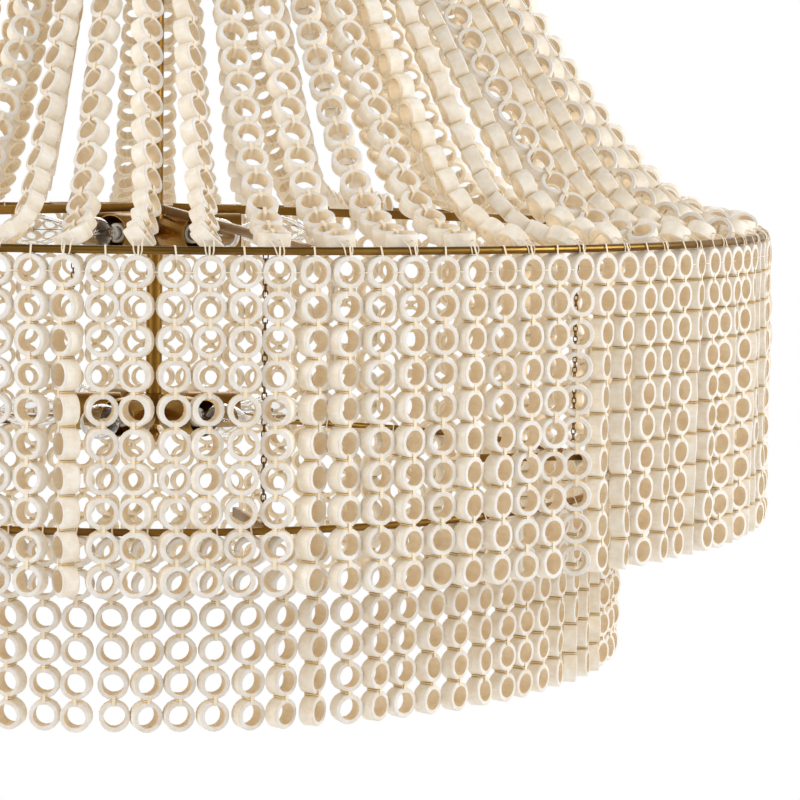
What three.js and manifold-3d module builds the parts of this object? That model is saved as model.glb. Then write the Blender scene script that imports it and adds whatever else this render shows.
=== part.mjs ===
// A two-tier beaded chandelier in millimetres, +Z up.
// The origin is the centre of the ceiling face, and everything hangs below it.
import * as THREE from 'three';
import { mergeVertices } from 'three/addons/utils/BufferGeometryUtils.js';
import Module from 'manifold-3d';

const wasm = await Module();
wasm.setup();

// Driving dimensions
const tierRingRadius = 566;        // upper brass ring, to the middle of its rod
const lowerRingRadius = 433;       // lower brass ring, to the middle of its rod
const crownRingRadius = 150;       // small ring at the top of the draped strands
const ringRodRadius = 3.1;
const crownRise = 520;             // crown ring above the upper ring
const tierDrop = 229;              // lower ring below the upper ring
const lowerLightDrop = 176;        // lower lights below the upper ring
const upperLightDrop = 7;          // upper lights below the upper ring
const seatGap = 0.3;               // clearance between pieces that touch

// Beads: rings of pale wood, tied one below the other
const beadDiameter = 25.4;
const beadLength = 12.7;
const beadPitch = 25.9;
const tierBeadCount = 10;
const lowerBeadCount = 6;
const tierStrandCount = 136;
const lowerStrandCount = 100;
const drapeStrandCount = 68;
const curtainPanelCount = 4;
const tieHeight = 2;               // thread tie between neighbours in the first row
const bluntShare = 0.42;           // flat part of a strand's rounded end
const shoulderShare = 0.3;         // height of the rounded end
const crownBeadDepth = 20;         // at the crown the rings crowd edge-on
const drapeEndRise = 5;            // where a draped strand meets the upper ring
const drapeSpanShares = [1, 0.72, 0.46, 0.26, 0.13, 0];
const drapeRiseShares = [1, 0.61, 0.295, 0.088, 0.018, 0];

// Angles, counted from the front towards the right
const spokeCount = 4;
const spokeAngle = THREE.MathUtils.degToRad(12);
const lightCount = 6;
const upperLightAngle = THREE.MathUtils.degToRad(30);
const lowerLightAngle = THREE.MathUtils.degToRad(35);

// Ceiling fitting
const canopyRadius = 65;
const canopyDepth = 30;
const canopyWall = 1.5;
const canopyFlatRadius = 20;
const canopyShoulderShare = 0.5;   // height of the shoulder above the flat
const canopyWaistShare = 0.167;
const strapLength = 104;
const strapWidth = 20;
const strapThickness = 3;
const slotOverrun = 3;              // a cut runs this far past both faces
const slotLength = 14;
const slotWidth = 5;
const slotPlace = 38;              // slot centre from the middle of the strap
const nippleRadius = 5;
const collarRadius = 11;
const collarHeight = 12;
const collarTipRadius = 6;

// Loops that hang the chandelier
const loopRadius = 12;             // to the middle of the wire
const loopWireRadius = 2.5;
const linkWidth = 22;
const linkLength = 48;             // between the middles of its two end bows
const capRadius = 14;
const capHeight = 14;

// Stem, hubs and finial
const stemRadius = 7.5;
const stemWall = 1.5;
const spigotLength = 8;
const hubRadius = 9.5;
const hubDiscRadius = 17;
const hubDiscThickness = 7;
const hubOverhang = 13;         // hub's end below the middle of its lights
const lowerHubRise = 16;
const finialLength = 17;
const finialRadius = 6;
const finialNeckRadius = 3.4;
const finialHeightShares = [0.11, 0.5, 0.67, 0.83];
const finialTipShare = 0.33;
const crownCollarRadius = 16;
const crownCollarHeight = 10;
const lockRingRadius = 12;
const lockRingHeight = 8;
const armWidth = 4;
const armHeight = 8;

// Spokes, tabs and chains
const spokeHeight = 8;
const spokeThickness = 4;
const spokeSeatHalf = 2.8;         // half height of the tongue that meets the ring
const tabLength = 106;
const tabHeight = 8;
const tabLift = 1;                 // middle of a tab above the middle of its ring
const cupToSpokeGap = 0.5;
const chainInset = 11;             // chains hang this far inside the lower ring
const chainLinkCount = 9;
const chainWireRadius = 1.1;
const chainLinkWidth = 9;
const eyeRadius = 4.2;
const eyeWireRadius = 1.2;
const weldDepth = 0.6;             // how far welded wires sink into each other

// Lights
const cupRadius = 17.5;
const cupWall = 1.2;
const cupBack = 31;                // from the stem's middle to the closed end
const cupFront = 80.5;             // from the stem's middle to the open end
const holderRadius = 9;
const holderInset = 10;            // holder's mouth behind the cup's open end
const boreDepth = 20;
const boreClearance = 0.5;
const cupArmRadius = 5;
const bulbRadius = 16.5;
const bulbBaseRadius = 5.8;
const bulbTip = 144;               // from the stem's middle to the tip
const bulbLengthShares = [0.25, 0.44, 0.58, 0.78, 0.94, 1];
const bulbRadiusShares = [0.5, 0.9, 1, 0.78, 0.3, 0];

// Facets
const ringSteps = 64;
const lowerRingSteps = 52;
const crownRingSteps = 24;
const rodSides = 6;
const roundSteps = 12;
const canopySteps = 24;
const lightSteps = 10;
const bulbSteps = 8;
const tubeSteps = 12;
const linkBowSteps = 4;
const chainBowSteps = 2;
const wireSides = 4;
const loopSides = 6;
const loopSteps = 12;

// Heights, from the ceiling down to the lower lights, and the place of the chains
const canopyLoopLevel = -(canopyDepth + seatGap + collarHeight + loopRadius);
const linkSeat = (2 * loopWireRadius + seatGap) / Math.cos(Math.PI / (2 * linkBowSteps));
const linkTopLevel = canopyLoopLevel - loopRadius + linkSeat;
const linkBottomLevel = linkTopLevel - linkLength;
const stemLoopLevel = linkBottomLevel + linkSeat - loopRadius;
const capTopLevel = stemLoopLevel - loopRadius;
const crownLevel = capTopLevel - capHeight - crownCollarHeight / 2 - seatGap;
const tierLevel = crownLevel - crownRise;
const lowerLevel = tierLevel - tierDrop;
const upperLightLevel = tierLevel - upperLightDrop;
const lowerLightLevel = tierLevel - lowerLightDrop;
const chainRadius = lowerRingRadius - chainInset;

// Materials
const brass = new THREE.MeshStandardMaterial({ color: 0x9c7434, roughness: 0.34, metalness: 1 });
const darkBrass = new THREE.MeshStandardMaterial({ color: 0x7a5626, roughness: 0.42, metalness: 1 });
const beads = new THREE.MeshStandardMaterial({ color: 0xf2e9da, roughness: 0.62, metalness: 0 });
const steel = new THREE.MeshStandardMaterial({ color: 0xa9a9a6, roughness: 0.4, metalness: 1 });
const glass = new THREE.MeshStandardMaterial({
  color: 0xf4f7f8, roughness: 0.05, metalness: 0, transparent: true, opacity: 0.4,
});

const chandelier = new THREE.Group();

function addPiece(name, geometry, material, parent = chandelier) {
  const mesh = new THREE.Mesh(geometry, material);
  mesh.name = name;
  parent.add(mesh);
  return mesh;
}

// Turns a geometry inside out when its faces point inwards.
function facedOutwards(geometry) {
  const position = geometry.attributes.position;
  const index = geometry.index;
  const corners = [new THREE.Vector3(), new THREE.Vector3(), new THREE.Vector3()];
  let volume = 0;
  for (let face = 0; face < index.count; face += 3) {
    corners.forEach((corner, place) => corner.fromBufferAttribute(position, index.getX(face + place)));
    volume += corners[0].dot(corners[1].cross(corners[2]));
  }
  if (volume < 0) {
    for (let face = 0; face < index.count; face += 3) {
      const first = index.getX(face);
      index.setX(face, index.getX(face + 1));
      index.setX(face + 1, first);
    }
  }
  return geometry;
}

// Shared vertices, positions only, and no triangle that has lost its area.
function welded(geometry) {
  const plain = geometry.clone();
  plain.deleteAttribute('normal');
  plain.deleteAttribute('uv');
  const merged = mergeVertices(plain);
  const kept = [];
  for (let face = 0; face < merged.index.count; face += 3) {
    const corners = [0, 1, 2].map((place) => merged.index.getX(face + place));
    if (new Set(corners).size === 3) kept.push(...corners);
  }
  merged.setIndex(kept);
  return facedOutwards(merged);
}

function toManifold(geometry) {
  const merged = welded(geometry);
  return new wasm.Manifold(new wasm.Mesh({
    numProp: 3,
    vertProperties: new Float32Array(merged.attributes.position.array),
    triVerts: new Uint32Array(merged.index.array),
  }));
}

function toGeometry(manifold) {
  const mesh = manifold.getMesh();
  const geometry = new THREE.BufferGeometry();
  geometry.setAttribute('position', new THREE.BufferAttribute(new Float32Array(mesh.vertProperties), 3));
  geometry.setIndex(new THREE.BufferAttribute(new Uint32Array(mesh.triVerts), 1));
  return geometry;
}

function joined(geometries) {
  return toGeometry(geometries.map(toManifold).reduce((whole, next) => whole.add(next)));
}

function cutFrom(geometry, tools) {
  return toGeometry(tools.map(toManifold).reduce((whole, tool) => whole.subtract(tool), toManifold(geometry)));
}

// A turned piece: the profile holds pairs of radius and height.
function turned(profile, steps) {
  const points = profile.map(([radius, height]) => new THREE.Vector2(radius, height));
  return welded(new THREE.LatheGeometry(points, steps).rotateX(Math.PI / 2));
}

function rodRing(radius, level, steps) {
  const profile = [];
  for (let side = 0; side <= rodSides; side += 1) {
    const turn = ((side + 0.5) / rodSides) * 2 * Math.PI;
    profile.push([radius + ringRodRadius * Math.cos(turn), level + ringRodRadius * Math.sin(turn)]);
  }
  return turned(profile, steps);
}

function bar(length, thickness, height) {
  return new THREE.BoxGeometry(length, thickness, height);
}

// Closed wire loop in the XZ plane, with a mitre at each corner of its path.
function wireLoop(path, wireRadius, sides) {
  const positions = [];
  const triangles = [];
  const middle = path.reduce((sum, point) => sum.add(point), new THREE.Vector2()).divideScalar(path.length);
  path.forEach((point, step) => {
    const before = path[(step + path.length - 1) % path.length];
    const after = path[(step + 1) % path.length];
    const inward = point.clone().sub(before).normalize();
    const outgoing = after.clone().sub(point).normalize();
    const mitre = new THREE.Vector2(inward.y + outgoing.y, -inward.x - outgoing.x).normalize();
    if (mitre.dot(point.clone().sub(middle)) < 0) mitre.negate();
    const stretch = 1 / Math.abs(mitre.dot(new THREE.Vector2(inward.y, -inward.x)));
    for (let side = 0; side < sides; side += 1) {
      const turn = ((side + 0.5) / sides) * 2 * Math.PI;
      const reach = wireRadius * stretch * Math.cos(turn);
      positions.push(point.x + mitre.x * reach, wireRadius * Math.sin(turn), point.y + mitre.y * reach);
      const here = step * sides + side;
      const beside = step * sides + ((side + 1) % sides);
      const next = ((step + 1) % path.length) * sides + side;
      const nextBeside = ((step + 1) % path.length) * sides + ((side + 1) % sides);
      triangles.push(here, next, beside, beside, next, nextBeside);
    }
  });
  const geometry = new THREE.BufferGeometry();
  geometry.setAttribute('position', new THREE.Float32BufferAttribute(positions, 3));
  geometry.setIndex(triangles);
  return facedOutwards(geometry);
}

// Path of an oblong link: two bows joined by straight sides.
function linkPath(width, length, bowSteps) {
  const bow = width / 2;
  const path = [];
  for (const end of [1, -1]) {
    for (let step = 0; step <= bowSteps; step += 1) {
      const turn = (step / bowSteps) * Math.PI;
      path.push(new THREE.Vector2(end * bow * Math.cos(turn), end * (length / 2 - bow + bow * Math.sin(turn))));
    }
  }
  return path;
}

function roundPath(radius, steps) {
  const path = [];
  for (let step = 0; step < steps; step += 1) {
    const turn = (step / steps) * 2 * Math.PI;
    path.push(new THREE.Vector2(radius * Math.sin(turn), radius * Math.cos(turn)));
  }
  return path;
}

// Ceiling strap with its welded nipple, and the canopy that it holds up
function mountingStrap() {
  const plate = bar(strapLength, strapWidth, strapThickness).translate(0, 0, -strapThickness / 2);
  const nippleLength = canopyDepth + collarHeight / 2;
  const nipple = turned([
    [0, -nippleLength], [nippleRadius, -nippleLength], [nippleRadius, -strapThickness / 2], [0, -strapThickness / 2],
  ], roundSteps);
  const slots = [1, -1].map((side) => bar(slotLength, slotWidth, strapThickness + 2 * slotOverrun)
    .translate(side * slotPlace, 0, -strapThickness / 2));
  return cutFrom(joined([plate, nipple]), slots);
}

function canopyDish() {
  const bore = nippleRadius + seatGap;
  const bottom = -canopyDepth;
  const shoulder = bottom + canopyDepth * canopyShoulderShare;
  const waistRadius = (canopyRadius + canopyFlatRadius) / 2;
  const waistLevel = bottom + canopyDepth * canopyWaistShare;
  return turned([
    [bore, bottom], [canopyFlatRadius, bottom], [waistRadius, waistLevel], [canopyRadius, shoulder],
    [canopyRadius, -seatGap], [canopyRadius - canopyWall, -seatGap], [canopyRadius - canopyWall, shoulder],
    [waistRadius - canopyWall, waistLevel + canopyWall], [canopyFlatRadius, bottom + canopyWall],
    [bore, bottom + canopyWall], [bore, bottom],
  ], canopySteps);
}

// A loop welded to the tip of a screwed collar, hanging below the collar's flat face.
function loopOnCollar(radius, height, boreRadius) {
  const boreEnd = -height / 2 - seatGap;
  const collar = turned([
    [0, -height - weldDepth], [collarTipRadius, -height - weldDepth], [radius, -height / 2], [radius, 0],
    [boreRadius, 0], [boreRadius, boreEnd], [0, boreEnd],
  ], roundSteps);
  const loop = wireLoop(roundPath(loopRadius, loopSteps), loopWireRadius, loopSides)
    .translate(0, 0, -height - loopRadius);
  return joined([collar, loop]);
}

function hangerLink() {
  const middle = (linkTopLevel + linkBottomLevel) / 2;
  return wireLoop(linkPath(linkWidth, linkLength, linkBowSteps), loopWireRadius, loopSides)
    .rotateZ(Math.PI / 2)
    .translate(0, 0, middle);
}

// The small ring at the top, its arms and the collar that the stem passes through
function crownFrame() {
  const bore = stemRadius + seatGap;
  const half = crownCollarHeight / 2;
  const collar = turned([
    [bore, -half], [crownCollarRadius, -half], [crownCollarRadius, half], [bore, half], [bore, -half],
  ], roundSteps);
  const reach = crownRingRadius - crownCollarRadius;
  const arms = [];
  for (let arm = 0; arm < spokeCount; arm += 1) {
    arms.push(bar(armWidth, reach, armHeight)
      .translate(0, -crownRingRadius + reach / 2 - weldDepth + ringRodRadius / 2, 0)
      .rotateZ(spokeAngle + (arm / spokeCount) * 2 * Math.PI));
  }
  return joined([collar, rodRing(crownRingRadius, 0, crownRingSteps), ...arms]);
}

function lockRing() {
  const bore = stemRadius + seatGap;
  return turned([
    [bore, -lockRingHeight], [lockRingRadius, -lockRingHeight], [lockRingRadius, 0], [bore, 0],
    [bore, -lockRingHeight],
  ], roundSteps);
}

function stemTube(top, bottom) {
  const bore = stemRadius - stemWall;
  return turned([[bore, bottom], [stemRadius, bottom], [stemRadius, top], [bore, top], [bore, bottom]], tubeSteps);
}

// A hub turned from one bar, with a short arm to the back of each cup
function lightHub(profile, level, firstAngle) {
  const armLength = cupBack - seatGap;
  const arms = [];
  for (let light = 0; light < lightCount; light += 1) {
    arms.push(turned([[0, 0], [cupArmRadius, 0], [cupArmRadius, armLength], [0, armLength]], lightSteps)
      .rotateX(Math.PI / 2)
      .rotateZ(firstAngle + (light / lightCount) * 2 * Math.PI)
      .translate(0, 0, level));
  }
  return joined([turned(profile, roundSteps), ...arms]);
}

function upperHub() {
  const bottom = upperLightLevel - hubOverhang;
  const spigot = stemRadius - stemWall - seatGap;
  return lightHub([
    [0, bottom - spigotLength], [spigot, bottom - spigotLength], [spigot, bottom], [hubRadius, bottom],
    [hubRadius, hubTopLevel - hubDiscThickness], [hubDiscRadius, hubTopLevel - hubDiscThickness],
    [hubDiscRadius, hubTopLevel], [spigot, hubTopLevel], [spigot, hubTopLevel + spigotLength],
    [0, hubTopLevel + spigotLength],
  ], upperLightLevel, upperLightAngle);
}

function lowerHub() {
  const top = lowerLightLevel + lowerHubRise;
  const bottom = lowerLightLevel - hubOverhang;
  const spigot = stemRadius - stemWall - seatGap;
  return lightHub([
    [0, bottom], [hubRadius, bottom], [hubRadius, top], [spigot, top], [spigot, top + spigotLength],
    [0, top + spigotLength],
  ], lowerLightLevel, lowerLightAngle);
}

function finial() {
  const top = lowerLightLevel - hubOverhang - seatGap;
  const bottom = top - finialLength;
  const [tip, belly, shoulder, neck] = finialHeightShares.map((share) => bottom + finialLength * share);
  return turned([
    [0, bottom], [finialRadius * finialTipShare, tip], [finialRadius, belly], [finialRadius, shoulder],
    [finialNeckRadius, neck], [finialNeckRadius, top], [0, top],
  ], tubeSteps);
}

// An outline of radius and height, made into a plate that runs from the middle to the front
function radialPlate(outline, thickness) {
  const shape = new THREE.Shape(outline.map(([radius, height]) => new THREE.Vector2(radius, height)));
  return new THREE.ExtrudeGeometry(shape, { depth: thickness, bevelEnabled: false })
    .rotateX(Math.PI / 2)
    .translate(0, thickness / 2, 0)
    .rotateZ(-Math.PI / 2);
}

// Every chain swings the same way, so all eyes lie parallel to the first spoke.
function chainEye(place, level) {
  const turn = place % 2 === 0 ? Math.PI / 2 : 0;
  return wireLoop(roundPath(eyeRadius, 2 * wireSides), eyeWireRadius, wireSides)
    .rotateZ(turn)
    .translate(0, -chainRadius, level);
}

function spoke(place) {
  const half = spokeHeight / 2;
  const inner = hubDiscRadius + seatGap;
  const outer = tierRingRadius - ringRodRadius - seatGap;
  const notch = tierRingRadius - beadLength / 2 - 2 * seatGap;
  const plate = radialPlate([
    [inner, spokeInnerLevel - half], [notch, tierLevel - half], [notch, tierLevel - spokeSeatHalf],
    [outer, tierLevel - spokeSeatHalf], [outer, tierLevel + half], [inner, spokeInnerLevel + half],
  ], spokeThickness);
  return joined([plate, chainEye(place, upperEyeLevel)])
    .rotateZ(spokeAngle + (place / spokeCount) * 2 * Math.PI);
}

function lowerRing() {
  const pieces = [rodRing(lowerRingRadius, lowerLevel, lowerRingSteps)];
  for (let place = 0; place < spokeCount; place += 1) {
    const outer = lowerRingRadius - ringRodRadius / 2;
    const middle = lowerLevel + tabLift;
    const tab = radialPlate([
      [outer - tabLength, middle - tabHeight / 2], [outer, middle - tabHeight / 2],
      [outer, middle + tabHeight / 2], [outer - tabLength, middle + tabHeight / 2],
    ], spokeThickness);
    const turn = spokeAngle + (place / spokeCount) * 2 * Math.PI;
    pieces.push(tab.rotateZ(turn), chainEye(place, lowerEyeLevel).rotateZ(turn));
  }
  return joined(pieces);
}

// A chain of links, each turned a quarter and resting in the one above
function chain(place) {
  const hook = (eyeWireRadius + chainWireRadius + seatGap) / bowSeatShare;
  const top = upperEyeLevel - eyeRadius + hook;
  const bottom = lowerEyeLevel + eyeRadius - hook;
  const nest = 2 * chainWireRadius - chainWeld;
  const length = (top - bottom + (chainLinkCount - 1) * nest) / chainLinkCount;
  const links = [];
  for (let link = 0; link < chainLinkCount; link += 1) {
    links.push(wireLoop(linkPath(chainLinkWidth, length, chainBowSteps), chainWireRadius, wireSides)
      .rotateZ((place + link) % 2 === 0 ? 0 : Math.PI / 2)
      .translate(0, -chainRadius, top - length / 2 - link * (length - nest)));
  }
  return joined(links).rotateZ(spokeAngle + (place / spokeCount) * 2 * Math.PI);
}

// A brass cup with the lampholder on its floor, along +Z before it is turned
function lightCup() {
  const inside = cupRadius - cupWall;
  const floor = cupBack + cupWall;
  const mouth = cupFront - holderInset;
  const bore = bulbBaseRadius + boreClearance;
  return turned([
    [0, cupBack], [cupRadius, cupBack], [cupRadius, cupFront], [inside, cupFront], [inside, floor],
    [holderRadius, floor], [holderRadius, mouth], [bore, mouth], [bore, mouth - boreDepth],
    [0, mouth - boreDepth],
  ], lightSteps);
}

function bulb() {
  const mouth = cupFront - holderInset;
  const glassLength = bulbTip - mouth;
  const base = mouth - boreDepth + seatGap;
  const glassProfile = bulbLengthShares.map((share, place) => [
    bulbRadius * bulbRadiusShares[place], mouth + glassLength * share,
  ]);
  return turned([[0, base], [bulbBaseRadius, base], [bulbBaseRadius, mouth], ...glassProfile], bulbSteps);
}

// Beads of one strand stand in one row of sections, from its thread at the top to its last ring.
// The first two sections are shared with the neighbours, because a thread ties the strands there.
function beadPanel(sections, strands, pitch, firstAngle) {
  const positions = [];
  const triangles = [];
  const corner = (section, angle, side) => {
    const radius = section.radius + side * section.outward;
    positions.push(radius * Math.sin(angle), -radius * Math.cos(angle), section.level + side * section.upward);
    return positions.length / 3 - 1;
  };
  const quad = (first, second, third, fourth) => {
    triangles.push(first, second, third, first, third, fourth);
  };
  const tied = sections.slice(0, 2).map((section) => {
    const rows = [];
    for (let border = 0; border <= strands; border += 1) {
      const inset = (seatGap / 2 / section.radius) * ((border === 0) - (border === strands));
      const angle = firstAngle + border * pitch + inset;
      rows.push([corner(section, angle, 1), corner(section, angle, -1)]);
    }
    return rows;
  });
  for (let strand = 0; strand < strands; strand += 1) {
    const middle = firstAngle + (strand + 0.5) * pitch;
    const rings = sections.map((section, row) => {
      if (row < 2) {
        const [leftOuter, leftInner] = tied[row][strand];
        const [rightOuter, rightInner] = tied[row][strand + 1];
        return [leftOuter, rightOuter, rightInner, leftInner];
      }
      const half = section.halfWidth / section.radius;
      return [
        corner(section, middle - half, 1), corner(section, middle + half, 1),
        corner(section, middle + half, -1), corner(section, middle - half, -1),
      ];
    });
    quad(...rings[0]);
    quad(...rings[rings.length - 1].toReversed());
    for (let row = 0; row + 1 < rings.length; row += 1) {
      for (let side = 0; side < 4; side += 1) {
        const next = (side + 1) % 4;
        const inTie = row === 0 && ((side === 1 && strand + 1 < strands) || (side === 3 && strand > 0));
        if (!inTie) quad(rings[row][side], rings[row + 1][side], rings[row + 1][next], rings[row][next]);
      }
    }
  }
  const geometry = new THREE.BufferGeometry();
  geometry.setAttribute('position', new THREE.Float32BufferAttribute(positions, 3));
  geometry.setIndex(triangles);
  return facedOutwards(geometry);
}

// Straight hanging strands below a ring
function curtainSections(radius, ringLevel, beadsInStrand) {
  const top = ringLevel - ringRodRadius - seatGap;
  const bottom = top - (beadsInStrand - 1) * beadPitch - beadDiameter;
  const across = { radius, outward: beadLength / 2, upward: 0 };
  return [
    { ...across, level: top },
    { ...across, level: top - tieHeight },
    { ...across, level: bottom + beadDiameter * shoulderShare, halfWidth: beadDiameter / 2 },
    { ...across, level: bottom, halfWidth: (beadDiameter / 2) * bluntShare },
  ];
}

// Draped strands from under the crown ring down to the inner side of the upper ring
function drapeSections() {
  const rodSeat = ringRodRadius + seatGap;
  const outerEnd = new THREE.Vector2(tierRingRadius - rodSeat - seatGap, tierLevel + drapeEndRise);
  const upperEnd = new THREE.Vector2(crownRingRadius, crownLevel);
  const points = drapeSpanShares.map((share, place) => new THREE.Vector2(
    outerEnd.x + (upperEnd.x - outerEnd.x) * share,
    outerEnd.y + (upperEnd.y - outerEnd.y) * drapeRiseShares[place],
  ));
  const along = points[1].clone().sub(points[0]).normalize();
  points[0].addScaledVector(along, rodSeat);
  points.splice(1, 0, points[0].clone().addScaledVector(along, tieHeight));
  return points.map((point, row) => {
    const before = points[Math.max(row - 1, 0)];
    const after = points[Math.min(row + 1, points.length - 1)];
    const tangent = after.clone().sub(before).normalize();
    const share = row / (points.length - 1);
    const half = THREE.MathUtils.lerp(crownBeadDepth, beadLength, share) / 2;
    const crownHalf = (Math.PI * crownRingRadius) / drapeStrandCount;
    return {
      radius: point.x,
      level: point.y,
      outward: -tangent.y * half,
      upward: tangent.x * half,
      halfWidth: THREE.MathUtils.lerp(crownHalf, beadDiameter / 2, Math.sqrt(share)),
    };
  });
}

// A spoke lies over the middle of a strand at half a pitch, and between two strands at none.
function addPanels(name, sections, strands, startShare) {
  const inPanel = strands / curtainPanelCount;
  const pitch = (2 * Math.PI) / strands;
  for (let panel = 0; panel < curtainPanelCount; panel += 1) {
    const firstAngle = spokeAngle + (panel * inPanel + startShare) * pitch;
    addPiece(`${name}_${panel + 1}`, beadPanel(sections, inPanel, pitch, firstAngle), beads);
  }
}

// Heights and shares that several pieces need
const hubTopLevel = upperLightLevel + cupRadius + hubDiscThickness;
const spokeInnerLevel = upperLightLevel + cupRadius + cupToSpokeGap + spokeHeight / 2;
const spokeFall = (spokeInnerLevel - tierLevel) / (tierRingRadius - hubDiscRadius);
const spokeLevelAtChain = spokeInnerLevel - spokeFall * (chainRadius - hubDiscRadius);
const upperEyeLevel = spokeLevelAtChain - spokeHeight / 2 + weldDepth - eyeWireRadius - eyeRadius;
const lowerEyeLevel = lowerLevel + tabLift + tabHeight / 2 - weldDepth + eyeWireRadius + eyeRadius;
const chainWeld = weldDepth / 2;
const bowSeatShare = Math.cos(Math.PI / (2 * chainBowSteps));

// Ceiling side
addPiece('mounting_strap', mountingStrap(), steel);
addPiece('canopy', canopyDish(), brass);
addPiece('canopy_loop', loopOnCollar(collarRadius, collarHeight, nippleRadius + seatGap), brass)
  .position.set(0, 0, -canopyDepth - seatGap);
addPiece('hanger_link', hangerLink(), brass);

// Stem, hubs and frame
const stemLoop = addPiece('stem_loop', loopOnCollar(capRadius, capHeight, stemRadius + seatGap), brass);
stemLoop.rotation.set(Math.PI, 0, 0);
stemLoop.position.set(0, 0, capTopLevel - capHeight);
addPiece('crown_frame', crownFrame(), brass).position.set(0, 0, crownLevel);
addPiece('crown_lock_ring', lockRing(), darkBrass)
  .position.set(0, 0, crownLevel - crownCollarHeight / 2 - seatGap);
addPiece('upper_stem', stemTube(capTopLevel - capHeight / 2, hubTopLevel + seatGap), brass);
addPiece('upper_hub', upperHub(), brass);
addPiece('middle_stem', stemTube(
  upperLightLevel - hubOverhang - seatGap, lowerLightLevel + lowerHubRise + seatGap,
), brass);
addPiece('lower_hub', lowerHub(), brass);
addPiece('finial', finial(), brass);
addPiece('upper_ring', rodRing(tierRingRadius, tierLevel, ringSteps), brass);
addPiece('lower_ring', lowerRing(), brass);
for (let place = 0; place < spokeCount; place += 1) {
  addPiece(`spoke_${place + 1}`, spoke(place), brass);
  addPiece(`chain_${place + 1}`, chain(place), darkBrass);
}

// Lights
function addLights(name, level, firstAngle) {
  for (let light = 0; light < lightCount; light += 1) {
    const arm = new THREE.Group();
    arm.position.set(0, 0, level);
    arm.rotation.set(Math.PI / 2, 0, firstAngle + (light / lightCount) * 2 * Math.PI, 'ZYX');
    chandelier.add(arm);
    addPiece(`${name}_cup_${light + 1}`, lightCup(), brass, arm);
    addPiece(`${name}_bulb_${light + 1}`, bulb(), glass, arm);
  }
}

addLights('upper', upperLightLevel, upperLightAngle);
addLights('lower', lowerLightLevel, lowerLightAngle);

// Strung beads
addPanels('upper_curtain', curtainSections(tierRingRadius, tierLevel, tierBeadCount), tierStrandCount, 0.5);
addPanels('lower_curtain', curtainSections(lowerRingRadius, lowerLevel, lowerBeadCount), lowerStrandCount, 0);
addPanels('crown_drape', drapeSections(), drapeStrandCount, 0);

export default chandelier;
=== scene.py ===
# %% [markdown]
# # A beaded chandelier
# This lesson dresses a frame of plain solids as a two-tier chandelier of strung wooden rings. The
# frame holds every piece at its true size and place, in metres, with +Z up and the ceiling at zero.
# We keep all of its places and swap the plain solids for finer ones.

# %% Load the frame
import math
from collections import defaultdict
from contextlib import contextmanager

import bmesh
import bpy
import numpy as np
from mathutils import Matrix, Vector


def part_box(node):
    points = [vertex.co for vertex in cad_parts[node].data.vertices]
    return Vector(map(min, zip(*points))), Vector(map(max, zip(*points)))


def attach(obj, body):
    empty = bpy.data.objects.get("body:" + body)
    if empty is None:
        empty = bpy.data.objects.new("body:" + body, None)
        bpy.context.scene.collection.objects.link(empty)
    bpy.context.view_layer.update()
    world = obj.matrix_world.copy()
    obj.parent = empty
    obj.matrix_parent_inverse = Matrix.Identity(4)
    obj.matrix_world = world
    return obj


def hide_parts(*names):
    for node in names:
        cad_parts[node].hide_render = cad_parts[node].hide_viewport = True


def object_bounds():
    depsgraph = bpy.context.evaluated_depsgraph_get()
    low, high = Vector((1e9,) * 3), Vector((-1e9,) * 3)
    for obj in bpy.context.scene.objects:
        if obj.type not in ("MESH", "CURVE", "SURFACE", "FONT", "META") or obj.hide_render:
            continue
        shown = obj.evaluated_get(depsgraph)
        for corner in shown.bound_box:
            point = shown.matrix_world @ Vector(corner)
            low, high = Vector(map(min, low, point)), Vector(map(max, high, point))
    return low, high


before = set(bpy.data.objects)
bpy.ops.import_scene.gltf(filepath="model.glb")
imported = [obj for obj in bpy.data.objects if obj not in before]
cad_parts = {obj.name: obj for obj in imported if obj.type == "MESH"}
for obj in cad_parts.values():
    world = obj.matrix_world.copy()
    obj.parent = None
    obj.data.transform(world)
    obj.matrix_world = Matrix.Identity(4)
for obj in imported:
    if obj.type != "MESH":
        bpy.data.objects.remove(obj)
cad_box = [list(corner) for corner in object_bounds()]
print("frame nodes:", len(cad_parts), "box:", [round(value, 3) for value in cad_box[0] + cad_box[1]])

# %% [markdown]
# ## Sizes that the whole lesson shares
# Heights come from the frame, so that nothing drifts from it. Radii are the real sizes of the
# brass rods, and the ring bead is a slice of one-inch wooden tube.

# %% Driving sizes
MM = 0.001


def middle_level(node):
    low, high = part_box(node)
    return (low.z + high.z) / 2


tier_radius = 566 * MM
lower_radius = 433 * MM
crown_radius = 150 * MM
rod_radius = 3.1 * MM
seat = 0.3 * MM
bead_outer = 12.4 * MM
bead_inner = 8.8 * MM
bead_length = 12.7 * MM
bead_pitch = 25.9 * MM
wall = bead_outer - bead_inner
spoke_count = 4
spoke_turn = math.radians(12)
spoke_turns = [spoke_turn + place * math.tau / spoke_count for place in range(spoke_count)]
tier_level = middle_level("upper_ring")
crown_level = middle_level("crown_frame")
lower_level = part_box("lower_curtain_1")[1].z + rod_radius + seat
print("upper ring at", round(tier_level, 4), "lower ring at", round(lower_level, 4))

# %% [markdown]
# ## Tools for modelling by hand
# Every piece starts as a primitive or as an outline and is shaped in edit mode. These helpers only
# select, switch modes and hand a finished piece to its body, so each step below stays short.

# %% Selecting


def only(piece):
    """Select this piece alone and make it active."""
    bpy.ops.object.select_all(action="DESELECT")
    piece.select_set(True)
    bpy.context.view_layer.objects.active = piece


def added(name):
    """Name the object that is active now."""
    piece = bpy.context.active_object
    piece.name = name
    piece.data.name = name
    return piece


def linked(name, data):
    """A new object in the scene with this mesh, curve, camera or light."""
    piece = bpy.data.objects.new(name, data)
    bpy.context.scene.collection.objects.link(piece)
    return piece


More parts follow.
